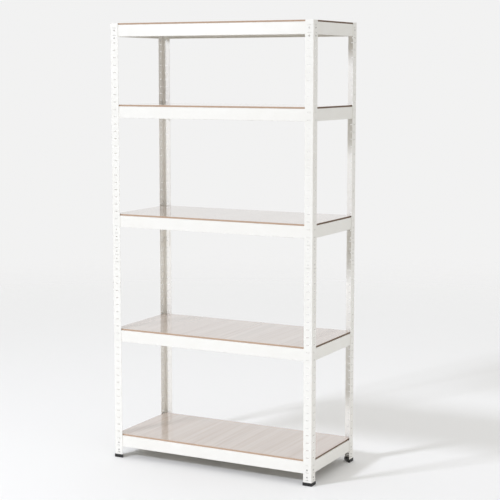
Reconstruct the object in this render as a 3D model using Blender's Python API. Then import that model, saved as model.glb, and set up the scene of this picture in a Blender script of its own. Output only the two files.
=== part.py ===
"""Boltless steel shelving rack, five levels, free standing.

Four corner posts of slotted steel angle, each in a lower and an upper half that
meet at a splice angle.  Every level has four pressed beams, hooked into the
posts' slots, and one laminated board that rests on the beams' top flanges.  A
plastic shoe closes the foot of each post.

Axes: X across the width, Y from the front (-Y) to the back (+Y), Z up.  The
origin is on the floor under the middle of the rack.
"""
import math

import bmesh
import bpy
from mathutils import Vector

MM = 0.001

# ---------------------------------------------------------------- dimensions, mm
WIDTH = 915.0             # over the posts' outer faces
DEPTH = 410.0             # over the posts' outer faces

POST_FLANGE = 36.0        # each leg of the angle
POST_WALL = 1.5
POST_BEND = 2.6           # outside radius of the angle's bend
POST_HALF = 905.0         # length of one half of a post
POST_FOOT_Z = 3.0         # the lower half starts this far above the floor
POST_SEAM = 0.4           # gap where the halves meet

SLOT_PITCH = 30.0
SLOT_COUNT = 30           # in each flange of each half
SLOT_FROM_OUTER_END = 19.5
SLOT_FROM_SPLICE_END = 15.5
SLOT_WIDE = 12.5
SLOT_HEIGHT = 2.2
SLOT_CENTRE = 19.0        # from the angle's outer corner
PIN_HOLE = 5.0            # round holes near both ends of each half
PIN_HOLES_AT = (30.5, 60.5)

FIT = 0.3                 # clearance between pieces that touch
BEAM_WALL = 1.2
BEAM_HEIGHT = 48.0
BEAM_BEND = 1.8
BEAM_SHELF = 22.0         # top flange, which carries the board
BEAM_LIP = 10.0           # bottom return
BEAM_FINGER_TOP = 20.0    # height of the upper finger behind the post's flange
BEAM_FINGER_LOW = 13.0    # height of the lower finger
HOOK_WIDE = 8.0
HOOK_NECK = 1.4           # thickness of the hook where it passes the slot
HOOK_DROP = 2.4           # the upper hook's nose hangs this far outside the flange
HOOK_NOSE = 1.0           # thickness of the nose

BOARD_THICK = 6.5
BOARD_INSET = 6.5         # the board's edge, from the posts' outer faces

SPLICE_LEG = 31.0
SPLICE_WALL = 1.5
SPLICE_LENGTH = 108.0
SPLICE_WINDOW = (9.0, 36.0)   # from the seam, both ways
SPLICE_TAB = (8.0, 1.6)       # width and height, inside a slot

SHOE_HEIGHT = 13.0
SHOE_SOLE = 2.7
SHOE_WALL = 1.7

# which slot, counted from the foot of its half, takes the upper hook
LEVELS = (
    ("level_1", "lower", 2),
    ("level_2", "lower", 17),
    ("level_3", "upper", 3),
    ("level_4", "upper", 18),
    ("level_5", "upper", 29),
)
HOOK_BELOW_BOARD = 16.1   # from the middle of the board down to the upper hook

CORNERS = (
    ("front_left", -1, -1),
    ("front_right", 1, -1),
    ("rear_left", -1, 1),
    ("rear_right", 1, 1),
)

# ---------------------------------------------------------------- derived heights
LOWER_Z = POST_FOOT_Z
UPPER_Z = POST_FOOT_Z + POST_HALF + POST_SEAM
SEAM_Z = POST_FOOT_Z + POST_HALF + POST_SEAM / 2


def slot_z(half, k):
    if half == "lower":
        return LOWER_Z + SLOT_FROM_OUTER_END + k * SLOT_PITCH
    return UPPER_Z + SLOT_FROM_SPLICE_END + k * SLOT_PITCH


# ---------------------------------------------------------------- scene and materials
for ob in list(bpy.data.objects):
    bpy.data.objects.remove(ob, do_unlink=True)

rack = bpy.data.collections.new("boltless_shelving_rack")
tools = bpy.data.collections.new("cutters")
bpy.context.scene.collection.children.link(rack)
bpy.context.scene.collection.children.link(tools)

frame = bpy.data.objects.new("frame", None)
frame.empty_display_size = 0.1
rack.objects.link(frame)


def material(name, colour, roughness, metallic=0.0, coat=0.0):
    mat = bpy.data.materials.new(name)
    mat.use_nodes = True
    bsdf = mat.node_tree.nodes["Principled BSDF"]
    bsdf.inputs["Base Color"].default_value = (*colour, 1.0)
    bsdf.inputs["Roughness"].default_value = roughness
    bsdf.inputs["Metallic"].default_value = metallic
    bsdf.inputs["Coat Weight"].default_value = coat
    mat.diffuse_color = (*colour, 1.0)
    return mat


POWDER = (0.86, 0.85, 0.81)
LAMINATE = (0.60, 0.56, 0.52)
RUBBER = (0.012, 0.012, 0.013)


# ---------------------------------------------------------------- helpers
def rect(u0, v0, u1, v1):
    return [(u0, v0), (u1, v0), (u1, v1), (u0, v1)]


def ring(u, v, diameter, sides=6, turn=0.0):
    r = diameter / 2
    return [(u + r * math.cos(turn + 2 * math.pi * i / sides),
             v + r * math.sin(turn + 2 * math.pi * i / sides)) for i in range(sides)]


def arc(cu, cv, radius, a0, a1, steps):
    return [(cu + radius * math.cos(math.radians(a0 + (a1 - a0) * i / steps)),
             cv + radius * math.sin(math.radians(a0 + (a1 - a0) * i / steps)))
            for i in range(steps + 1)]


def prism(name, outlines, thickness, axis, centre):
    """Closed solids from flat outlines, extruded along one world axis.

    axis "Z": outlines are (x, y); axis "Y": (x, z); axis "X": (y, z).
    """
    curve = bpy.data.curves.new(name, "CURVE")
    curve.dimensions = "2D"
    curve.fill_mode = "BOTH"
    curve.extrude = thickness * MM / 2
    for outline in outlines:
        spline = curve.splines.new("POLY")
        spline.points.add(len(outline) - 1)
        for point, (u, v) in zip(spline.points, outline):
            point.co = (u * MM, v * MM, 0.0, 1.0)
        spline.use_cyclic_u = True
    holder = bpy.data.objects.new(name + "_outline", curve)
    tools.objects.link(holder)
    bpy.context.view_layer.update()
    graph = bpy.context.evaluated_depsgraph_get()
    mesh = bpy.data.meshes.new_from_object(holder.evaluated_get(graph))
    bpy.data.objects.remove(holder, do_unlink=True)
    bpy.data.curves.remove(curve)

    bm = bmesh.new()
    bm.from_mesh(mesh)
    bmesh.ops.remove_doubles(bm, verts=bm.verts, dist=1e-6)
    for vert in bm.verts:
        u, v, w = vert.co
        if axis == "Y":
            vert.co = (u, w, v)
        elif axis == "X":
            vert.co = (w, u, v)
        vert.co += Vector(centre) * MM
    bm.normal_update()
    bmesh.ops.dissolve_limit(bm, angle_limit=math.radians(0.05), verts=bm.verts, edges=bm.edges)
    bm.normal_update()
    bmesh.ops.recalc_face_normals(bm, faces=bm.faces)
    if bm.calc_volume(signed=True) < 0:
        bmesh.ops.reverse_faces(bm, faces=bm.faces)
    bm.to_mesh(mesh)
    bm.free()
    mesh.name = name
    return mesh


def merge(name, meshes):
    """One mesh from several closed solids that don't touch each other."""
    bm = bmesh.new()
    for mesh in meshes:
        bm.from_mesh(mesh)
        bpy.data.meshes.remove(mesh)
    out = bpy.data.meshes.new(name)
    bm.to_mesh(out)
    bm.free()
    return out


def piece(name, mesh, mat, parent=frame):
    ob = bpy.data.objects.new(name, mesh)
    rack.objects.link(ob)
    mesh.materials.clear()
    mesh.materials.append(mat)
    ob.parent = parent
    return ob


def boolean(ob, mesh, name, operation):
    tool = bpy.data.objects.new(name, mesh)
    tool.hide_render = True
    tool.display_type = "WIRE"
    tools.objects.link(tool)
    mod = ob.modifiers.new(name, "BOOLEAN")
    mod.object = tool
    mod.operation = operation
    mod.solver = "EXACT"
    return mod


# ---------------------------------------------------------------- posts
def angle_outline(leg, wall, bend, sx, sy, corner_gap=0.0):
    """L section: its outer corner at the rack's corner, its legs turned inwards."""
    g = corner_gap
    pts = [(leg, g), (leg, g + wall), (g + wall, g + wall), (g + wall, leg), (g, leg)]
    pts += arc(g + bend, g + bend, bend, 180, 270, 3)
    cx, cy = sx * WIDTH / 2, sy * DEPTH / 2
    return [(cx - sx * u, cy - sy * v) for u, v in pts]


def flange_openings(half):
    """Narrow slots and round pin holes of one flange: (distance from corner, height)."""
    base = LOWER_Z if half == "lower" else UPPER_Z
    holes = []
    for k in range(SLOT_COUNT):
        z = slot_z(half, k)
        holes.append(rect(SLOT_CENTRE - SLOT_WIDE / 2, z - SLOT_HEIGHT / 2,
                          SLOT_CENTRE + SLOT_WIDE / 2, z + SLOT_HEIGHT / 2))
    for at in PIN_HOLES_AT:
        for z in (base + at, base + POST_HALF - at):
            holes.append(ring(SLOT_CENTRE, z, PIN_HOLE))
    return holes


for corner, sx, sy in CORNERS:
    for half, z0 in (("lower", LOWER_Z), ("upper", UPPER_Z)):
        name = f"post_{corner}_{half}"
        body = prism(name, [angle_outline(POST_FLANGE, POST_WALL, POST_BEND, sx, sy)],
                     POST_HALF, "Z", (0, 0, z0 + POST_HALF / 2))
        ob = piece(name, body, material(name + "_powder_coat", POWDER, 0.42))
        face = [[(sx * (WIDTH / 2 - u), z) for u, z in h] for h in flange_openings(half)]
        side = [[(sy * (DEPTH / 2 - u), z) for u, z in h] for h in flange_openings(half)]
        cut = merge(name + "_slots", [
            prism("face_slots", face, 6.0, "Y", (0, sy * (DEPTH / 2 - POST_WALL / 2), 0)),
            prism("side_slots", side, 6.0, "X", (sx * (WIDTH / 2 - POST_WALL / 2), 0, 0)),
        ])
        boolean(ob, cut, name + "_slots", "DIFFERENCE")


# ---------------------------------------------------------------- splice angles
# A short angle nests inside both halves of a post.  Windows keep the posts' slots
# and pin holes open, and pressed tabs seat in one slot of each half.
for corner, sx, sy in CORNERS:
    name = f"splice_{corner}"
    gap = POST_WALL + FIT
    body = prism(name, [angle_outline(SPLICE_LEG, SPLICE_WALL, 1.6, sx, sy, gap)],
                 SPLICE_LENGTH, "Z", (0, 0, SEAM_Z))
    ob = piece(name, body, material(name + "_powder_coat", POWDER, 0.45))
    windows = []
    for s in (-1, 1):
        z0, z1 = sorted((SEAM_Z + s * SPLICE_WINDOW[0], SEAM_Z + s * SPLICE_WINDOW[1]))
        windows.append(rect(SLOT_CENTRE - 7.5, z0, SLOT_CENTRE + 7.5, z1))
    face = [[(sx * (WIDTH / 2 - u), z) for u, z in h] for h in windows]
    side = [[(sy * (DEPTH / 2 - u), z) for u, z in h] for h in windows]
    cut = merge(name + "_windows", [
        prism("face_windows", face, 6.0, "Y", (0, sy * (DEPTH / 2 - gap - SPLICE_WALL / 2), 0)),
        prism("side_windows", side, 6.0, "X", (sx * (WIDTH / 2 - gap - SPLICE_WALL / 2), 0, 0)),
    ])
    boolean(ob, cut, name + "_windows", "DIFFERENCE")
    tabs = []
    reach = POST_WALL + FIT + SPLICE_WALL / 2 - 0.3
    for z in (slot_z("lower", SLOT_COUNT - 2), slot_z("upper", 1)):
        tab = rect(-SPLICE_TAB[0] / 2, z - SPLICE_TAB[1] / 2, SPLICE_TAB[0] / 2, z + SPLICE_TAB[1] / 2)
        x, y = sx * (WIDTH / 2 - SLOT_CENTRE), sy * (DEPTH / 2 - SLOT_CENTRE)
        tabs.append(prism("face_tab", [tab], reach, "Y", (x, sy * (DEPTH / 2 - 0.3 - reach / 2), 0)))
        tabs.append(prism("side_tab", [tab], reach, "X", (sx * (WIDTH / 2 - 0.3 - reach / 2), y, 0)))
    boolean(ob, merge(name + "_tabs", tabs), name + "_tabs", "UNION")


# ---------------------------------------------------------------- shoes
for corner, sx, sy in CORNERS:
    name = f"foot_{corner}"
    out = FIT + SHOE_WALL
    inn = POST_WALL + FIT + SHOE_WALL
    end = POST_FLANGE + out
    outline = [(end, -out), (end, inn), (inn, end), (-out, end)]
    outline += arc(0.5, 0.5, out + 0.5, 180, 270, 3)
    outline = [(sx * (WIDTH / 2 - u), sy * (DEPTH / 2 - v)) for u, v in outline]
    body = prism(name, [outline], SHOE_HEIGHT, "Z", (0, 0, SHOE_HEIGHT / 2))
    ob = piece(name, body, material(name + "_plastic", RUBBER, 0.55))
    g = FIT
    pocket = [(POST_FLANGE + g, -g), (POST_FLANGE + g, POST_WALL + g),
              (POST_WALL + g, POST_WALL + g), (POST_WALL + g, POST_FLANGE + g), (-g, POST_FLANGE + g)]
    pocket += arc(POST_BEND - g, POST_BEND - g, POST_BEND, 180, 270, 3)
    pocket = [(sx * (WIDTH / 2 - u), sy * (DEPTH / 2 - v)) for u, v in pocket]
    depth = SHOE_HEIGHT + 4 - SHOE_SOLE
    boolean(ob, prism(name + "_pocket", [pocket], depth, "Z", (0, 0, SHOE_SOLE + depth / 2)),
            name + "_pocket", "DIFFERENCE")


# ---------------------------------------------------------------- beams
def beam_section(top, face, inward):
    """C section across the beam: (distance inwards from the posts' outer face, height)."""
    w, r, t = BEAM_HEIGHT, BEAM_BEND, BEAM_WALL
    f = face
    pts = [(f + BEAM_SHELF, top), (f + BEAM_SHELF, top - t), (f + t, top - t),
           (f + t, top - w + t), (f + BEAM_LIP, top - w + t), (f + BEAM_LIP, top - w)]
    pts += arc(f + r, top - w + r, r, 270, 180, 2)
    pts += arc(f + r, top - r, r, 180, 90, 2)
    return pts


def make_beam(name, along, side, top, upper_slot, lower_slot):
    """along "X" runs across the width, along "Y" runs front to back; side is -1 or 1."""
    span, across = (WIDTH, DEPTH) if along == "X" else (DEPTH, WIDTH)
    section_axis = along
    face = POST_WALL + FIT
    # clear of the other pair of beams, which meet the post on its other flange
    end = span / 2 - (POST_WALL + FIT + BEAM_WALL + 1.5)
    sec = [(side * (across / 2 - u), z) for u, z in beam_section(top, face, 1)]
    body = prism(name, [sec], 2 * end, section_axis, (0, 0, 0))
    ob = piece(name, body, material(name + "_powder_coat", POWDER, 0.42))

    # between the posts the full section runs; behind the flanges only two fingers do
    clear = span / 2 - POST_FLANGE - 2.0
    cuts = []
    for s in (-1, 1):
        lo, hi = sorted((s * clear, s * (end + 5)))
        u0, u1 = sorted((side * (across / 2 - face - BEAM_WALL + 0.1),
                         side * (across / 2 - face - BEAM_SHELF - 5)))
        cuts.append((lo, hi, u0, u1, top - BEAM_HEIGHT - 5, top + 5))
        n0, n1 = sorted((s * (clear + 4.0), s * (end + 5)))
        w0, w1 = sorted((side * (across / 2 - face + 4), side * (across / 2 - face - BEAM_WALL - 4)))
        cuts.append((n0, n1, w0, w1, top - BEAM_HEIGHT + BEAM_FINGER_LOW, top - BEAM_FINGER_TOP))
    for i, (a0, a1, b0, b1, z0, z1) in enumerate(cuts):
        if along == "X":
            mesh = prism(f"{name}_cut", [rect(a0, b0, a1, b1)], z1 - z0, "Z", (0, 0, (z0 + z1) / 2))
        else:
            mesh = prism(f"{name}_cut", [rect(b0, a0, b1, a1)], z1 - z0, "Z", (0, 0, (z0 + z1) / 2))
        boolean(ob, mesh, f"{name}_cut_{i}", "DIFFERENCE")

    # the beam is tilted to enter the upper hook, whose nose hangs outside the flange,
    # then swung down until the straight lower tab stands in the next slot
    hooks = []
    inner = face + BEAM_WALL / 2
    outer = -FIT
    nose = outer - HOOK_NOSE
    for z in (upper_slot, lower_slot):
        seat = z - SLOT_HEIGHT / 2 + FIT
        if z == upper_slot:
            profile = [(inner, seat), (inner, seat + HOOK_NECK), (nose, seat + HOOK_NECK),
                       (nose, seat - HOOK_DROP), (outer, seat - HOOK_DROP), (outer, seat)]
        else:
            profile = rect(inner, seat, FIT, seat + HOOK_NECK)
        profile = [(side * (across / 2 - u), v) for u, v in profile]
        for s in (-1, 1):
            at = s * (span / 2 - SLOT_CENTRE)
            centre = (at, 0, 0) if along == "X" else (0, at, 0)
            hooks.append(prism(name + "_hook", [profile], HOOK_WIDE, along, centre))
    boolean(ob, merge(name + "_hooks", hooks), name + "_hooks", "UNION")
    return ob


for level, half, k in LEVELS:
    upper_slot = slot_z(half, k)
    lower_slot = slot_z(half, k - 1)
    board_z = upper_slot + HOOK_BELOW_BOARD
    beam_top = board_z - BOARD_THICK / 2 - 0.1
    make_beam(f"beam_{level}_front", "X", -1, beam_top, upper_slot, lower_slot)
    make_beam(f"beam_{level}_rear", "X", 1, beam_top, upper_slot, lower_slot)
    make_beam(f"beam_{level}_left", "Y", -1, beam_top, upper_slot, lower_slot)
    make_beam(f"beam_{level}_right", "Y", 1, beam_top, upper_slot, lower_slot)


# ---------------------------------------------------------------- boards
for level, half, k in LEVELS:
    name = f"board_{level}"
    z = slot_z(half, k) + HOOK_BELOW_BOARD
    x = WIDTH / 2 - BOARD_INSET
    y = DEPTH / 2 - BOARD_INSET
    slide = bpy.data.objects.new(f"lift_{level}", None)
    slide.empty_display_size = 0.05
    rack.objects.link(slide)
    slide.parent = frame
    mesh = prism(name, [rect(-x, -y, x, y)], BOARD_THICK, "Z", (0, 0, z))
    piece(name, mesh, material(name + "_laminate", LAMINATE, 0.35), parent=slide)

bpy.context.view_layer.update()
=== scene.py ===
"""Looks of the boltless steel shelving rack: finished meshes, materials, floor, light and camera.

Row frame: X across the width, Y from the front (-Y) to the back (+Y), Z up, metres.
Lengths below are in millimetres until MM is applied.
"""
import math

import bmesh
import bpy
from mathutils import Matrix, Vector


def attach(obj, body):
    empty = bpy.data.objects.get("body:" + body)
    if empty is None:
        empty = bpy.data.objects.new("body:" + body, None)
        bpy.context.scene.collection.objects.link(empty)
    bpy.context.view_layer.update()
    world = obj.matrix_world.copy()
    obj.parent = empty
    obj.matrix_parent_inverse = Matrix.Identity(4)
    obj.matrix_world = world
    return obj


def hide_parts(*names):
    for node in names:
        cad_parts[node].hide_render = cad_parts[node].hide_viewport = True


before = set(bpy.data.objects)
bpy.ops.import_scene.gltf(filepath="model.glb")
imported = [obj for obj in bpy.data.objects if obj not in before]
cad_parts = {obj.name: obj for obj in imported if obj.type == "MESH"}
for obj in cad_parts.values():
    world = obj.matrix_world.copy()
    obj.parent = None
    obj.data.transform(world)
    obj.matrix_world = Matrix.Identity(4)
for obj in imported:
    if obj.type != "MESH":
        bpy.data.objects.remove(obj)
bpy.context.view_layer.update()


MM = 0.001

# ---------------------------------------------------------------- the CAD's dimensions, mm
WIDTH, DEPTH = 915.0, 410.0
POST_FLANGE, POST_WALL, POST_BEND = 36.0, 1.5, 2.6
POST_HALF, POST_FOOT_Z, POST_SEAM = 905.0, 3.0, 0.4
SLOT_PITCH, SLOT_COUNT = 30.0, 30
SLOT_FROM_OUTER_END, SLOT_FROM_SPLICE_END = 19.5, 15.5
SLOT_WIDE, SLOT_HEIGHT, SLOT_CENTRE = 12.5, 2.2, 19.0
SLOT_ROUND = 0.85
PIN_HOLE, PIN_HOLES_AT = 5.0, (30.5, 60.5)
FIT = 0.3
BEAM_WALL, BEAM_HEIGHT, BEAM_BEND = 1.2, 48.0, 1.8
BEAM_SHELF, BEAM_LIP = 22.0, 10.0
BEAM_FINGER_TOP, BEAM_FINGER_LOW = 20.0, 13.0
HOOK_WIDE, HOOK_NECK, HOOK_DROP, HOOK_NOSE = 8.0, 1.4, 2.4, 1.0
HOOK_BELOW_BOARD = 16.1
BOARD_THICK, BOARD_INSET = 6.5, 6.5
SPLICE_LEG, SPLICE_WALL, SPLICE_LENGTH = 31.0, 1.5, 108.0
SPLICE_WINDOW, SPLICE_TAB = (9.0, 36.0), (8.0, 1.6)
SHOE_HEIGHT, SHOE_SOLE, SHOE_WALL = 13.0, 2.7, 1.7

LEVELS = (
    ("level_1", "lower", 2),
    ("level_2", "lower", 17),
    ("level_3", "upper", 3),
    ("level_4", "upper", 18),
    ("level_5", "upper", 29),
)
CORNERS = (
    ("front_left", -1, -1),
    ("front_right", 1, -1),
    ("rear_left", -1, 1),
    ("rear_right", 1, 1),
)
LOWER_Z = POST_FOOT_Z
UPPER_Z = POST_FOOT_Z + POST_HALF + POST_SEAM
SEAM_Z = POST_FOOT_Z + POST_HALF + POST_SEAM / 2


def slot_z(half, k):
    if half == "lower":
        return LOWER_Z + SLOT_FROM_OUTER_END + k * SLOT_PITCH
    return UPPER_Z + SLOT_FROM_SPLICE_END + k * SLOT_PITCH


# ---------------------------------------------------------------- node helpers
class Nodes:
    """Short hand for building a material's node tree."""

    def __init__(self, tree):
        self.tree = tree

    def add(self, kind, **settings):
        node = self.tree.nodes.new(kind)
        for key, value in settings.items():
            setattr(node, key, value)
        return node

    def link(self, a, b):
        self.tree.links.new(a, b)

    def feed(self, socket, value):
        if isinstance(value, bpy.types.NodeSocket):
            self.link(value, socket)
        else:
            socket.default_value = value

    def math(self, operation, a, b=0.0, c=0.0, clamp=False):
        node = self.add("ShaderNodeMath", operation=operation, use_clamp=clamp)
        for socket, value in zip(node.inputs, (a, b, c)):
            self.feed(socket, value)
        return node.outputs[0]

    def noise(self, vector, scale, detail=3.0, rough=0.5, distortion=0.0, dims="3D"):
        node = self.add("ShaderNodeTexNoise", noise_dimensions=dims)
        self.link(vector, node.inputs["Vector"])
        node.inputs["Scale"].default_value = scale
        node.inputs["Detail"].default_value = detail
        node.inputs["Roughness"].default_value = rough
        node.inputs["Distortion"].default_value = distortion
        return node.outputs["Fac"]

    def stretch(self, vector, scale, offset=(0, 0, 0), turn=(0, 0, 0)):
        node = self.add("ShaderNodeMapping")
        self.link(vector, node.inputs["Vector"])
        node.inputs["Scale"].default_value = scale
        node.inputs["Location"].default_value = offset
        node.inputs["Rotation"].default_value = turn
        return node.outputs[0]

    def span(self, value, from_min, from_max, to_min, to_max, smooth=False):
        node = self.add("ShaderNodeMapRange",
                        interpolation_type="SMOOTHSTEP" if smooth else "LINEAR")
        for name, v in (("Value", value), ("From Min", from_min), ("From Max", from_max),
                        ("To Min", to_min), ("To Max", to_max)):
            self.feed(node.inputs[name], v)
        return node.outputs["Result"]

    def mix(self, factor, a, b, blend="MIX"):
        node = self.add("ShaderNodeMix", data_type="RGBA", blend_type=blend)
        self.feed(node.inputs["Factor"], factor)
        for socket, value in ((node.inputs["A"], a), (node.inputs["B"], b)):
            self.feed(socket, (*value, 1.0) if isinstance(value, tuple) and len(value) == 3 else value)
        return node.outputs["Result"]

    def ramp(self, value, stops):
        node = self.add("ShaderNodeValToRGB")
        self.link(value, node.inputs["Fac"])
        ramp = node.color_ramp
        while len(ramp.elements) < len(stops):
            ramp.elements.new(0.5)
        for element, (at, colour) in zip(ramp.elements, stops):
            element.position = at
            element.color = (*colour, 1.0)
        return node.outputs["Color"]

    def bump(self, height, strength, distance, normal=None):
        node = self.add("ShaderNodeBump")
        self.link(height, node.inputs["Height"])
        node.inputs["Strength"].default_value = strength
        node.inputs["Distance"].default_value = distance
        if normal is not None:
            self.link(normal, node.inputs["Normal"])
        return node.outputs["Normal"]


def new_material(name):
    mat = bpy.data.materials.new(name)
    mat.use_nodes = True
    tree = mat.node_tree
    bsdf = tree.nodes["Principled BSDF"]
    n = Nodes(tree)
    coords = n.add("ShaderNodeTexCoord").outputs["Object"]
    return mat, n, bsdf, coords


def powder_coat(name, colour, shade, roughness=0.42):
    """Satin powder coat on steel: fine orange peel, faint clouding and flecks."""
    mat, n, bsdf, at = new_material(name)
    cloud = n.noise(at, 9.0, 4.0, 0.55)
    fleck = n.noise(at, 420.0, 2.0, 0.6)
    base = n.mix(n.span(cloud, 0.35, 0.65, 0.0, 1.0), shade, colour)
    base = n.mix(n.span(fleck, 0.60, 0.78, 0.0, 0.22, True), base, tuple(0.93 * c for c in colour))
    n.link(base, bsdf.inputs["Base Color"])
    peel = n.noise(at, 620.0, 2.0, 0.45)
    swell = n.noise(at, 150.0, 1.0, 0.4)
    height = n.math("MULTIPLY_ADD", swell, 0.6, peel)
    n.link(n.bump(height, 0.16, 0.00012), bsdf.inputs["Normal"])
    gloss = n.span(n.noise(at, 38.0, 3.0, 0.55), 0.3, 0.7, roughness - 0.05, roughness + 0.06)
    n.link(gloss, bsdf.inputs["Roughness"])
    bsdf.inputs["Specular IOR Level"].default_value = 0.5
    bsdf.inputs["Coat Weight"].default_value = 0.12
    bsdf.inputs["Coat Roughness"].default_value = 0.3
    return mat


def laminate(name):
    """Printed wood-grain film, ash-like, running front to back, semi-gloss."""
    mat, n, bsdf, at = new_material(name)
    # each board has its own piece of the print: its height moves it through the noise
    wander = n.noise(n.stretch(at, (3.0, 1.3, 9.0)), 1.0, 2.0, 0.5)
    sway = n.math("MULTIPLY", n.math("SUBTRACT", wander, 0.5), 0.030)
    split = n.add("ShaderNodeSeparateXYZ")
    n.link(at, split.inputs[0])
    joined = n.add("ShaderNodeCombineXYZ")
    n.link(n.math("ADD", split.outputs[0], sway), joined.inputs[0])
    n.link(split.outputs[1], joined.inputs[1])
    n.link(split.outputs[2], joined.inputs[2])
    flow = joined.outputs[0]
    planks = n.noise(n.stretch(flow, (15.0, 0.30, 23.0)), 1.0, 2.0, 0.5)
    bands = n.noise(n.stretch(flow, (48.0, 0.9, 31.0)), 1.0, 3.0, 0.55)
    grain = n.noise(n.stretch(flow, (330.0, 3.4, 57.0)), 1.0, 4.0, 0.62)
    pores = n.noise(n.stretch(flow, (1150.0, 16.0, 71.0)), 1.0, 2.0, 0.6)
    tone = n.ramp(planks, (
        (0.34, (0.471, 0.381, 0.324)),
        (0.42, (0.513, 0.416, 0.359)),
        (0.47, (0.558, 0.469, 0.413)),
        (0.53, (0.521, 0.432, 0.375)),
        (0.58, (0.586, 0.499, 0.442)),
        (0.68, (0.536, 0.461, 0.407)),
    ))
    tone = n.mix(n.span(bands, 0.42, 0.62, 0.0, 0.40, True), tone, (0.603, 0.514, 0.455))
    tone = n.mix(n.span(grain, 0.50, 0.74, 0.0, 0.24, True), tone, (0.426, 0.338, 0.285))
    tone = n.mix(n.span(pores, 0.62, 0.76, 0.0, 0.20, True), tone, (0.363, 0.283, 0.232))
    n.link(tone, bsdf.inputs["Base Color"])
    height = n.math("MULTIPLY_ADD", pores, -0.5, n.math("MULTIPLY", grain, -0.5))
    n.link(n.bump(height, 0.035, 0.00006), bsdf.inputs["Normal"])
    n.link(n.span(grain, 0.35, 0.7, 0.075, 0.125), bsdf.inputs["Roughness"])
    bsdf.inputs["Specular IOR Level"].default_value = 0.75
    bsdf.inputs["Coat Weight"].default_value = 0.8
    bsdf.inputs["Coat Roughness"].default_value = 0.06
    return mat


def fibreboard(name, colour, dark, light):
    """Sawn edge and raw back of the fibreboard: matted fibres with lighter lumps."""
    mat, n, bsdf, at = new_material(name)
    fibres = n.noise(n.stretch(at, (260.0, 260.0, 900.0)), 1.0, 4.0, 0.6)
    lumps = n.noise(at, 60.0, 3.0, 0.5)
    tone = n.mix(n.span(fibres, 0.35, 0.7, 0.0, 1.0), dark, colour)
    tone = n.mix(n.span(lumps, 0.35, 0.65, 0.0, 0.30), tone, light)
    n.link(tone, bsdf.inputs["Base Color"])
    n.link(n.bump(fibres, 0.35, 0.00025), bsdf.inputs["Normal"])
    bsdf.inputs["Roughness"].default_value = 0.78
    bsdf.inputs["Specular IOR Level"].default_value = 0.25
    return mat


def shoe_plastic(name):
    """Black moulded plastic with a fine spark-eroded texture and dull smears."""
    mat, n, bsdf, at = new_material(name)
    grain = n.noise(at, 900.0, 2.0, 0.5)
    smear = n.noise(at, 70.0, 4.0, 0.6)
    tone = n.mix(n.span(smear, 0.40, 0.75, 0.0, 1.0), (0.0085, 0.0085, 0.0092), (0.020, 0.020, 0.021))
    n.link(tone, bsdf.inputs["Base Color"])
    n.link(n.bump(grain, 0.30, 0.00008), bsdf.inputs["Normal"])
    n.link(n.span(smear, 0.3, 0.7, 0.42, 0.58), bsdf.inputs["Roughness"])
    return mat


POWDER = powder_coat("powder_coat_warm_white", (0.880, 0.870, 0.838), (0.858, 0.846, 0.808))
POWDER_SPLICE = powder_coat("powder_coat_splice", (0.860, 0.845, 0.800), (0.835, 0.818, 0.770), 0.46)
# painted shade: the slots' cut walls get a dark grey coat so the slots read dark, standing in for the shade inside
# them
SLOT_WALL_SHADE = powder_coat("powder_coat_painted_shade_in_slots", (0.26, 0.245, 0.22), (0.21, 0.195, 0.175), 0.55)
# painted shade: the pin holes' walls are near-black, standing in for the shade seen through the holes
HOLE_WALL_SHADE = powder_coat("painted_shade_in_pin_holes", (0.016, 0.015, 0.014), (0.010, 0.010, 0.009), 0.6)
LAMINATE = laminate("laminate_pale_ash")
FIBRE_EDGE = fibreboard("fibreboard_long_edge", (0.545, 0.388, 0.290), (0.435, 0.298, 0.212), (0.60, 0.443, 0.340))
# painted shade: the end edges are the same fibreboard as the long edges, made much darker because they face away
# from the key light
FIBRE_END_SHADE = fibreboard("fibreboard_end_edge_painted_shade", (0.225, 0.155, 0.112), (0.150, 0.100, 0.070), (0.27, 0.19, 0.14))
FIBRE_BACK = fibreboard("pale_backing_paper", (0.80, 0.77, 0.70), (0.76, 0.725, 0.655), (0.83, 0.80, 0.735))
SHOE = shoe_plastic("shoe_black_plastic")


# ---------------------------------------------------------------- mesh helpers
def arc(cu, cv, radius, a0, a1, steps):
    return [(cu + radius * math.cos(math.radians(a0 + (a1 - a0) * i / steps)),
             cv + radius * math.sin(math.radians(a0 + (a1 - a0) * i / steps)))
            for i in range(steps + 1)]


def rect(u0, v0, u1, v1):
    return [(u0, v0), (u1, v0), (u1, v1), (u0, v1)]


def rounded(outline, radius, steps=3):
    """The outline with each corner turned into an arc; radius is one number or one per corner."""
    out = []
    count = len(outline)
    for i, point in enumerate(outline):
        r = radius[i] if isinstance(radius, (list, tuple)) else radius
        p = Vector(point)
        a = (Vector(outline[i - 1]) - p).normalized()
        b = (Vector(outline[(i + 1) % count]) - p).normalized()
        if r <= 0 or abs(a.cross(b)) < 1e-6:
            out.append(tuple(p))
            continue
        half = math.acos(max(-1.0, min(1.0, a.dot(b)))) / 2
        cut = r / math.tan(half)
        centre = p + (a + b).normalized() * (r / math.sin(half))
        start, end = p + a * cut - centre, p + b * cut - centre
        turn = math.atan2(start.cross(end), start.dot(end))
        for k in range(steps + 1):
            t = turn * k / steps
            c, s = math.cos(t), math.sin(t)
            out.append((centre.x + start.x * c - start.y * s, centre.y + start.x * s + start.y * c))
    return out


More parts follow.
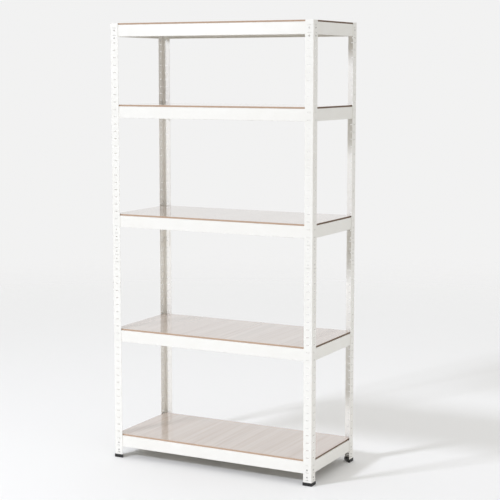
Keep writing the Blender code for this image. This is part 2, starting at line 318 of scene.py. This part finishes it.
def outline_mesh(outlines, thickness, axis, centre):
    """bmesh of a closed solid, extruded from flat outlines. axis "Z": (x, y); "Y": (x, z); "X": (y, z)."""
    curve = bpy.data.curves.new("outline", "CURVE")
    curve.dimensions = "2D"
    curve.fill_mode = "BOTH"
    curve.extrude = thickness * MM / 2
    for outline in outlines:
        spline = curve.splines.new("POLY")
        spline.points.add(len(outline) - 1)
        for point, (u, v) in zip(spline.points, outline):
            point.co = (u * MM, v * MM, 0.0, 1.0)
        spline.use_cyclic_u = True
    holder = bpy.data.objects.new("outline", curve)
    bpy.context.scene.collection.objects.link(holder)
    bpy.context.view_layer.update()
    mesh = bpy.data.meshes.new_from_object(holder.evaluated_get(bpy.context.evaluated_depsgraph_get()))
    bpy.data.objects.remove(holder, do_unlink=True)
    bpy.data.curves.remove(curve)
    bm = bmesh.new()
    bm.from_mesh(mesh)
    bpy.data.meshes.remove(mesh)
    bmesh.ops.remove_doubles(bm, verts=bm.verts, dist=1e-6)
    for vert in bm.verts:
        u, v, w = vert.co
        if axis == "Y":
            vert.co = (u, w, v)
        elif axis == "X":
            vert.co = (w, u, v)
        vert.co += Vector(centre) * MM
    bm.normal_update()
    bmesh.ops.dissolve_limit(bm, angle_limit=math.radians(0.05), verts=bm.verts, edges=bm.edges)
    tidy(bm)
    return bm


def tidy(bm):
    bm.normal_update()
    bmesh.ops.recalc_face_normals(bm, faces=bm.faces)
    if bm.calc_volume(signed=True) < 0:
        bmesh.ops.reverse_faces(bm, faces=bm.faces)
    bm.normal_update()


def combine(base, tools):
    """base and tools are bmeshes; tools is a list of (bmesh, operation). Returns one bmesh."""
    def as_object(bm, name):
        mesh = bpy.data.meshes.new(name)
        bm.to_mesh(mesh)
        bm.free()
        ob = bpy.data.objects.new(name, mesh)
        bpy.context.scene.collection.objects.link(ob)
        return ob

    body = as_object(base, "body")
    made = []
    for bm, operation in tools:
        tool = as_object(bm, "tool")
        made.append(tool)
        mod = body.modifiers.new("cut", "BOOLEAN")
        mod.object = tool
        mod.operation = operation
        mod.solver = "EXACT"
    bpy.context.view_layer.update()
    mesh = bpy.data.meshes.new_from_object(body.evaluated_get(bpy.context.evaluated_depsgraph_get()))
    out = bmesh.new()
    out.from_mesh(mesh)
    bpy.data.meshes.remove(mesh)
    for ob in [body] + made:
        data = ob.data
        bpy.data.objects.remove(ob, do_unlink=True)
        bpy.data.meshes.remove(data)
    bmesh.ops.remove_doubles(out, verts=out.verts, dist=2e-6)
    out.normal_update()
    bmesh.ops.dissolve_limit(out, angle_limit=math.radians(0.1), verts=out.verts, edges=out.edges)
    tidy(out)
    return out


def soften(bm, width, segments=2, least=50.0, choose=None):
    """Rounds the sharp edges, which catch the light on real sheet metal and plastic."""
    limit = math.radians(least)
    edges = [e for e in bm.edges
             if e.is_manifold and e.calc_face_angle(0.0) > limit and (choose is None or choose(e))]
    if edges:
        bmesh.ops.bevel(bm, geom=edges, offset=width * MM, offset_type="OFFSET", segments=segments,
                        profile=0.5, affect="EDGES", clamp_overlap=True)
    return bm


def as_mesh(bm, name):
    """A smooth-shaded mesh whose flat faces stay flat."""
    mesh = bpy.data.meshes.new(name)
    bm.to_mesh(mesh)
    bm.free()
    mesh.shade_smooth()
    mesh.set_sharp_from_angle(angle=math.radians(40))
    return mesh


def mirrored(bm, sx=1, sy=1, dz=0.0):
    """A copy turned to another side of the rack and moved up by dz millimetres."""
    out = bm.copy()
    for vert in out.verts:
        vert.co = (vert.co.x * sx, vert.co.y * sy, vert.co.z + dz * MM)
    if sx * sy < 0:
        bmesh.ops.reverse_faces(out, faces=out.faces)
    out.normal_update()
    return out


parts = bpy.data.collections.new("rack_finish")
bpy.context.scene.collection.children.link(parts)


def place(name, mesh, materials, body, node):
    ob = bpy.data.objects.new(name, mesh)
    parts.objects.link(ob)
    for mat in materials:
        mesh.materials.append(mat)
    keep = ob.modifiers.new("flat_faces", "WEIGHTED_NORMAL")
    keep.mode = "FACE_AREA"
    keep.weight = 60
    keep.keep_sharp = True
    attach(ob, body)
    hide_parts(node)
    return ob


# ---------------------------------------------------------------- posts
# Each half is one strip of steel, folded along its middle.  It is laid out cell by
# cell, one cell to each slot or pin hole, in both flanges, with the fold between.
FOLD_STEPS = 6
# width of the ring of painted shade round the pin holes at the posts' ends
SHADE_RIM_WIDTH = 0.65
LINE = (SLOT_CENTRE - 4.4, SLOT_CENTRE, SLOT_CENTRE + 4.4)


def slot_ring(z):
    """16 points round a slot, from its lower corner nearest the fold."""
    w, h = SLOT_WIDE / 2, SLOT_HEIGHT / 2
    corners = rounded(rect(SLOT_CENTRE - w, z - h, SLOT_CENTRE + w, z + h), SLOT_ROUND, 2)
    ring = []
    for i in range(4):
        first, middle, last = corners[3 * i:3 * i + 3]
        follow = corners[(3 * i + 3) % 12]
        ring += [middle, last, ((last[0] + follow[0]) / 2, (last[1] + follow[1]) / 2), follow]
    return ring


def pin_ring(z, r=PIN_HOLE / 2):
    return [(SLOT_CENTRE + r * math.cos(math.radians(225 + 22.5 * i)),
             z + r * math.sin(math.radians(225 + 22.5 * i))) for i in range(16)]


def post_half(half):
    """bmesh of the front-right corner's post half, u inwards from its corner."""
    base = LOWER_Z if half == "lower" else UPPER_Z
    holes = [(slot_z(half, k), slot_ring(slot_z(half, k)), SLOT_HEIGHT / 2, 1, False) for k in range(SLOT_COUNT)]
    for at in PIN_HOLES_AT:
        for z in (base + at, base + POST_HALF - at):
            # the pin holes at the post's own ends get a ring of painted shade round their edge, near-black like the
            # hole walls
            shade_rim = (z < base + POST_HALF / 2) == (half == "lower")
            holes.append((z, pin_ring(z), PIN_HOLE / 2, 2, shade_rim))
    holes.sort(key=lambda item: item[0])
    lines = [base]
    for (za, _, ha, _, _), (zb, _, hb, _, _) in zip(holes, holes[1:]):
        lines.append((za + ha + zb - hb) / 2)
    lines.append(base + POST_HALF)

    bm = bmesh.new()
    made = {}

    def at(u, v, z):
        key = (round(u, 4), round(v, 4), round(z, 4))
        if key not in made:
            made[key] = bm.verts.new(((WIDTH / 2 - u) * MM, -(DEPTH / 2 - v) * MM, z * MM))
        return made[key]

    def on(flange, layer, u, z):
        off = POST_WALL * layer
        return at(u, off, z) if flange == 0 else at(off, u, z)

    def face(*verts, zone=0):
        if len(set(verts)) == len(verts):
            bm.faces.new(verts).material_index = zone

    rows = []
    for k, (z, ring, h, wall, shade_rim) in enumerate(holes):
        z0, z1 = lines[k], lines[k + 1]
        reach = max(h * 0.62, 2.0)
        inner = (z - reach, z, z + reach)
        rows += [z0, *inner]
        border = [(POST_BEND, z0), (LINE[0], z0), (LINE[1], z0), (LINE[2], z0),
                  (POST_FLANGE, z0), (POST_FLANGE, inner[0]), (POST_FLANGE, inner[1]), (POST_FLANGE, inner[2]),
                  (POST_FLANGE, z1), (LINE[2], z1), (LINE[1], z1), (LINE[0], z1),
                  (POST_BEND, z1), (POST_BEND, inner[2]), (POST_BEND, inner[1]), (POST_BEND, inner[0])]
        # pin holes with a shade rim get an extra ring of painted shade (zone 2) between the border and the hole
        rims = [border, pin_ring(z, PIN_HOLE / 2 + SHADE_RIM_WIDTH), ring] if shade_rim else [border, ring]
        for flange in (0, 1):
            for i in range(16):
                j = (i + 1) % 16
                for layer in (0, 1):
                    for outer, inside in zip(rims, rims[1:]):
                        face(on(flange, layer, *outer[i]), on(flange, layer, *outer[j]),
                             on(flange, layer, *inside[j]), on(flange, layer, *inside[i]),
                             zone=0 if outer is border else 2)
                # the cut walls take zone wall: painted shade, dark grey in the slots and near-black in the pin
                # holes
                face(on(flange, 0, *ring[i]), on(flange, 0, *ring[j]),
                     on(flange, 1, *ring[j]), on(flange, 1, *ring[i]), zone=wall)
    rows.append(lines[-1])

    def fold(layer, step, z):
        if step == 0:
            return on(0, layer, POST_BEND, z)
        if step == FOLD_STEPS:
            return on(1, layer, POST_BEND, z)
        r = POST_BEND - POST_WALL * layer
        t = math.radians(90 * step / FOLD_STEPS)
        return at(POST_BEND - r * math.sin(t), POST_BEND - r * math.cos(t), z)

    for z0, z1 in zip(rows, rows[1:]):
        for layer in (0, 1):
            for step in range(FOLD_STEPS):
                face(fold(layer, step, z0), fold(layer, step + 1, z0),
                     fold(layer, step + 1, z1), fold(layer, step, z1))
        for flange in (0, 1):
            face(on(flange, 0, POST_FLANGE, z0), on(flange, 0, POST_FLANGE, z1),
                 on(flange, 1, POST_FLANGE, z1), on(flange, 1, POST_FLANGE, z0))
    for z in (lines[0], lines[-1]):
        us = (POST_BEND, *LINE, POST_FLANGE)
        for flange in (0, 1):
            for ua, ub in zip(us, us[1:]):
                face(on(flange, 0, ua, z), on(flange, 0, ub, z), on(flange, 1, ub, z), on(flange, 1, ua, z))
        for step in range(FOLD_STEPS):
            face(fold(0, step, z), fold(0, step + 1, z), fold(1, step + 1, z), fold(1, step, z))
    tidy(bm)

    # the flanges' free corners are clipped round
    def free_corner(e):
        a, b = e.verts
        if abs(a.co.z - b.co.z) > 1e-7:
            return False
        z = a.co.z / MM
        if min(abs(z - lines[0]), abs(z - lines[-1])) > 1e-3:
            return False
        us = [(WIDTH / 2 - v.co.x / MM, DEPTH / 2 + v.co.y / MM) for v in (a, b)]
        return (all(abs(u - POST_FLANGE) < 1e-3 for u, _ in us)
                or all(abs(v - POST_FLANGE) < 1e-3 for _, v in us))

    soften(bm, 2.2, 4, 50, free_corner)
    tidy(bm)
    soften(bm, 0.22, 2, 50)
    return bm


for half in ("lower", "upper"):
    model = post_half(half)
    for corner, sx, sy in CORNERS:
        name = f"post_{corner}_{half}"
        mesh = as_mesh(mirrored(model, sx, -sy), name + "_finish")
        place(name + "_finish", mesh, [POWDER, SLOT_WALL_SHADE, HOLE_WALL_SHADE], "frame", name)
    model.free()


# ---------------------------------------------------------------- splice angles
def angle_outline(leg, wall, bend, gap, steps=6):
    g = gap
    pts = [(leg, g), (leg, g + wall), (g + wall, g + wall), (g + wall, leg), (g, leg)]
    pts += arc(g + bend, g + bend, bend, 180, 270, steps)
    return [(WIDTH / 2 - u, -(DEPTH / 2 - v)) for u, v in pts]


gap = POST_WALL + FIT
model = outline_mesh([angle_outline(SPLICE_LEG, SPLICE_WALL, 1.6, gap)], SPLICE_LENGTH, "Z", (0, 0, SEAM_Z))
tools = []
for s in (-1, 1):
    z0, z1 = sorted((SEAM_Z + s * SPLICE_WINDOW[0], SEAM_Z + s * SPLICE_WINDOW[1]))
    window = rounded(rect(SLOT_CENTRE - 7.5, z0, SLOT_CENTRE + 7.5, z1), 2.5, 4)
    face = [(WIDTH / 2 - u, z) for u, z in window]
    side = [(-(DEPTH / 2 - u), z) for u, z in window]
    tools.append((outline_mesh([face], 6.0, "Y", (0, -(DEPTH / 2 - gap - SPLICE_WALL / 2), 0)), "DIFFERENCE"))
    tools.append((outline_mesh([side], 6.0, "X", (WIDTH / 2 - gap - SPLICE_WALL / 2, 0, 0)), "DIFFERENCE"))
reach = POST_WALL + FIT + SPLICE_WALL / 2 - 0.3
for z in (slot_z("lower", SLOT_COUNT - 2), slot_z("upper", 1)):
    tab = rounded(rect(-SPLICE_TAB[0] / 2, z - SPLICE_TAB[1] / 2, SPLICE_TAB[0] / 2, z + SPLICE_TAB[1] / 2), 0.5, 3)
    x, y = WIDTH / 2 - SLOT_CENTRE, -(DEPTH / 2 - SLOT_CENTRE)
    face = [(x + u, v) for u, v in tab]
    side = [(y + u, v) for u, v in tab]
    tools.append((outline_mesh([face], reach, "Y", (0, -(DEPTH / 2 - 0.3 - reach / 2), 0)), "UNION"))
    tools.append((outline_mesh([side], reach, "X", (WIDTH / 2 - 0.3 - reach / 2, 0, 0)), "UNION"))
model = combine(model, tools)
soften(model, 0.2, 2, 50)
for corner, sx, sy in CORNERS:
    name = f"splice_{corner}"
    mesh = as_mesh(mirrored(model, sx, -sy), name + "_finish")
    place(name + "_finish", mesh, [POWDER_SPLICE], "frame", name)
model.free()


# ---------------------------------------------------------------- shoes
out = FIT + SHOE_WALL
inn = POST_WALL + FIT + SHOE_WALL
end = POST_FLANGE + out
outline = rounded([(end, -out), (end, inn), (inn, end), (-out, end), (-out, -out)], [1.2, 2.0, 2.0, 1.2, 2.4], 5)
outline = [(WIDTH / 2 - u, -(DEPTH / 2 - v)) for u, v in outline]
model = outline_mesh([outline], SHOE_HEIGHT, "Z", (0, 0, SHOE_HEIGHT / 2))
soften(model, 0.7, 3, 50)
tidy(model)
g = FIT
pocket = [(POST_FLANGE + g, -g), (POST_FLANGE + g, POST_WALL + g),
          (POST_WALL + g, POST_WALL + g), (POST_WALL + g, POST_FLANGE + g), (-g, POST_FLANGE + g)]
pocket += arc(POST_BEND - g, POST_BEND - g, POST_BEND, 180, 270, 5)
pocket = [(WIDTH / 2 - u, -(DEPTH / 2 - v)) for u, v in pocket]
depth = SHOE_HEIGHT + 4 - SHOE_SOLE
model = combine(model, [(outline_mesh([pocket], depth, "Z", (0, 0, SHOE_SOLE + depth / 2)), "DIFFERENCE")])
for corner, sx, sy in CORNERS:
    name = f"foot_{corner}"
    mesh = as_mesh(mirrored(model, sx, -sy), name + "_finish")
    place(name + "_finish", mesh, [SHOE], "frame", name)
model.free()


# ---------------------------------------------------------------- beams
def beam_section(top, face, steps=5):
    """C section with real inside bends: (distance inwards from the posts' outer face, height)."""
    w, r, t, f = BEAM_HEIGHT, BEAM_BEND, BEAM_WALL, face
    q = r - t
    pts = [(f + BEAM_SHELF, top), (f + BEAM_SHELF, top - t)]
    pts += arc(f + r, top - r, q, 90, 180, 3)
    pts += arc(f + r, top - w + r, q, 180, 270, 3)
    pts += [(f + BEAM_LIP, top - w + t), (f + BEAM_LIP, top - w)]
    pts += arc(f + r, top - w + r, r, 270, 180, steps)
    pts += arc(f + r, top - r, r, 180, 90, steps)
    return pts


def beam_model(along):
    """The beam on the -Y side (along X) or the +X side (along Y), its top at height 0."""
    span, across = (WIDTH, DEPTH) if along == "X" else (DEPTH, WIDTH)
    side = -1 if along == "X" else 1
    face = POST_WALL + FIT
    end = span / 2 - (POST_WALL + FIT + BEAM_WALL + 1.5)
    section = [(side * (across / 2 - u), z) for u, z in beam_section(0.0, face)]
    body = outline_mesh([section], 2 * end, along, (0, 0, 0))
    clear = span / 2 - POST_FLANGE - 2.0
    tools = []
    for s in (-1, 1):
        lo, hi = sorted((s * clear, s * (end + 5)))
        u0, u1 = sorted((side * (across / 2 - face - BEAM_WALL + 0.1), side * (across / 2 - face - BEAM_SHELF - 5)))
        tools.append((lo, hi, u0, u1, -BEAM_HEIGHT - 5, 5))
        n0, n1 = sorted((s * (clear + 4.0), s * (end + 5)))
        w0, w1 = sorted((side * (across / 2 - face + 4), side * (across / 2 - face - BEAM_WALL - 4)))
        tools.append((n0, n1, w0, w1, -BEAM_HEIGHT + BEAM_FINGER_LOW, -BEAM_FINGER_TOP))
    made = []
    for i, (a0, a1, b0, b1, z0, z1) in enumerate(tools):
        shape = rect(a0, b0, a1, b1) if along == "X" else rect(b0, a0, b1, a1)
        made.append((outline_mesh([shape], z1 - z0, "Z", (0, 0, (z0 + z1) / 2)), "DIFFERENCE"))
    board_above = BOARD_THICK / 2 + 0.1
    for below in (HOOK_BELOW_BOARD, HOOK_BELOW_BOARD + SLOT_PITCH):
        z = board_above - below
        seat = z - SLOT_HEIGHT / 2 + FIT
        inner = face + BEAM_WALL / 2
        outer = -FIT
        nose = outer - HOOK_NOSE
        if below == HOOK_BELOW_BOARD:
            profile = [(inner, seat), (inner, seat + HOOK_NECK), (nose, seat + HOOK_NECK),
                       (nose, seat - HOOK_DROP), (outer, seat - HOOK_DROP), (outer, seat)]
            profile = rounded(profile, [0, 0, 0.9, 0.35, 0.35, 0], 3)
        else:
            profile = rounded(rect(inner, seat, FIT, seat + HOOK_NECK), [0, 0.35, 0.35, 0], 3)
        profile = [(side * (across / 2 - u), v) for u, v in profile]
        for s in (-1, 1):
            at = s * (span / 2 - SLOT_CENTRE)
            centre = (at, 0, 0) if along == "X" else (0, at, 0)
            made.append((outline_mesh([profile], HOOK_WIDE, along, centre), "UNION"))
    model = combine(body, made)
    soften(model, 0.18, 2, 50)
    return model


across_model = beam_model("X")
along_model = beam_model("Y")
for level, half, k in LEVELS:
    top = slot_z(half, k) + HOOK_BELOW_BOARD - BOARD_THICK / 2 - 0.1
    for side, model, sx, sy in (("front", across_model, 1, 1), ("rear", across_model, 1, -1),
                                ("right", along_model, 1, 1), ("left", along_model, -1, 1)):
        name = f"beam_{level}_{side}"
        mesh = as_mesh(mirrored(model, sx, sy, top), name + "_finish")
        place(name + "_finish", mesh, [POWDER], "frame", name)
across_model.free()
along_model.free()


# ---------------------------------------------------------------- boards
for i, (level, half, k) in enumerate(LEVELS):
    name = f"board_{level}"
    z = slot_z(half, k) + HOOK_BELOW_BOARD
    x, y = WIDTH / 2 - BOARD_INSET, DEPTH / 2 - BOARD_INSET
    model = outline_mesh([rounded(rect(-x, -y, x, y), 1.2, 4)], BOARD_THICK, "Z", (0, 0, z))
    soften(model, 0.3, 2, 50)
    tidy(model)
    for f in model.faces:
        if abs(f.normal.z) > 0.7:
            f.material_index = 0 if f.normal.z > 0 else 2
        else:
            # faces turned to the sides (the end edges) take the darker copy with painted shade
            f.material_index = 3 if abs(f.normal.x) > 0.7 else 1
    mesh = as_mesh(model, name + "_finish")
    place(name + "_finish", mesh, [LAMINATE, FIBRE_EDGE, FIBRE_BACK, FIBRE_END_SHADE], f"board_{i + 1}", name)


# ---------------------------------------------------------------- floor, light, camera
def studio_floor():
    bm = bmesh.new()
    bmesh.ops.create_circle(bm, cap_ends=True, radius=14.0, segments=96)
    mesh = bpy.data.meshes.new("studio_floor")
    bm.to_mesh(mesh)
    bm.free()
    ob = bpy.data.objects.new("studio_floor", mesh)
    bpy.context.scene.collection.objects.link(ob)
    mat, n, bsdf, at = new_material("studio_floor")
    bsdf.inputs["Base Color"].default_value = (0.880, 0.877, 0.872, 1.0)
    bsdf.inputs["Roughness"].default_value = 0.75
    bsdf.inputs["Specular IOR Level"].default_value = 0.2
    far = n.add("ShaderNodeVectorMath", operation="LENGTH")
    n.link(at, far.inputs[0])
    clear = n.add("ShaderNodeBsdfTransparent")
    blend = n.add("ShaderNodeMixShader")
    n.link(n.span(far.outputs["Value"], 2.0, 6.5, 0.0, 1.0, True), blend.inputs["Fac"])
    n.link(bsdf.outputs[0], blend.inputs[1])
    n.link(clear.outputs[0], blend.inputs[2])
    output = next(node for node in mat.node_tree.nodes if node.type == "OUTPUT_MATERIAL")
    n.link(blend.outputs[0], output.inputs["Surface"])
    mesh.materials.append(mat)


studio_floor()

world = bpy.data.worlds.new("studio")
bpy.context.scene.world = world
world.use_nodes = True
n = Nodes(world.node_tree)
background = world.node_tree.nodes["Background"]
direction = n.add("ShaderNodeTexCoord").outputs["Generated"]
split = n.add("ShaderNodeSeparateXYZ")
n.link(direction, split.inputs[0])
right = n.span(split.outputs[0], -0.10, 0.85, 0.0, 1.0, True)
front = n.span(split.outputs[1], 0.20, -0.60, 0.0, 1.0, True)
above = n.span(split.outputs[2], 0.35, 0.90, 0.0, 1.0, True)
behind = n.mix(right, (0.888, 0.887, 0.885), (0.40, 0.41, 0.42))
before = n.mix(right, (0.35, 0.35, 0.32), (0.98, 0.943, 0.885))
tone = n.mix(above, n.mix(front, behind, before), (0.93, 0.93, 0.925))
n.link(tone, background.inputs["Color"])
background.inputs["Strength"].default_value = 1.0


def soft_box(name, place_at, aim_at, size, power, colour=(1, 1, 1)):
    """An area light that doesn't fade with distance, as if it stood far away behind a large diffuser."""
    light = bpy.data.lights.new(name, "AREA")
    light.shape = "RECTANGLE"
    light.size, light.size_y = size
    light.energy = power
    light.color = colour
    light.use_nodes = True
    tree = light.node_tree
    falloff = tree.nodes.new("ShaderNodeLightFalloff")
    falloff.inputs["Strength"].default_value = 1.0
    tree.links.new(falloff.outputs["Constant"], tree.nodes["Emission"].inputs["Strength"])
    ob = bpy.data.objects.new(name, light)
    bpy.context.scene.collection.objects.link(ob)
    ob.location = place_at
    ob.rotation_euler = (Vector(aim_at) - Vector(place_at)).to_track_quat("-Z", "Y").to_euler()
    ob.visible_camera = False
    return ob


soft_box("key", (-1.74, -3.20, 2.37), (0.0, 0.0, -0.3), (0.55, 0.55), 5.35, (0.87, 0.905, 1.0))
soft_box("low_fill", (3.2, -0.6, 0.35), (0.0, 0.0, 0.2), (1.8, 0.6), 0.6, (1.0, 0.94, 0.80))

# parallel verticals are approached with a slight downward tilt and a small shift
CAMERA_AT = (2.656, -4.926, 1.618)
CAMERA_PITCH, CAMERA_YAW = -6.83, 27.62
CAMERA_FOCAL, CAMERA_SHIFT_Y = 1365.0, -0.03
camera_data = bpy.data.cameras.new("camera")
camera_data.sensor_width = 36.0
camera_data.lens = CAMERA_FOCAL * 36.0 / 500.0
camera_data.shift_y = CAMERA_SHIFT_Y
camera_data.dof.use_dof = False
camera_data.clip_end = 60.0
camera = bpy.data.objects.new("camera", camera_data)
bpy.context.scene.collection.objects.link(camera)
camera.location = CAMERA_AT
camera.rotation_euler = (math.radians(90 + CAMERA_PITCH), 0.0, math.radians(CAMERA_YAW))
bpy.context.scene.camera = camera

view = bpy.context.scene.view_settings
view.view_transform = "Standard"
view.look = "None"
view.exposure = 0.0
view.gamma = 1.0

bpy.context.view_layer.update()
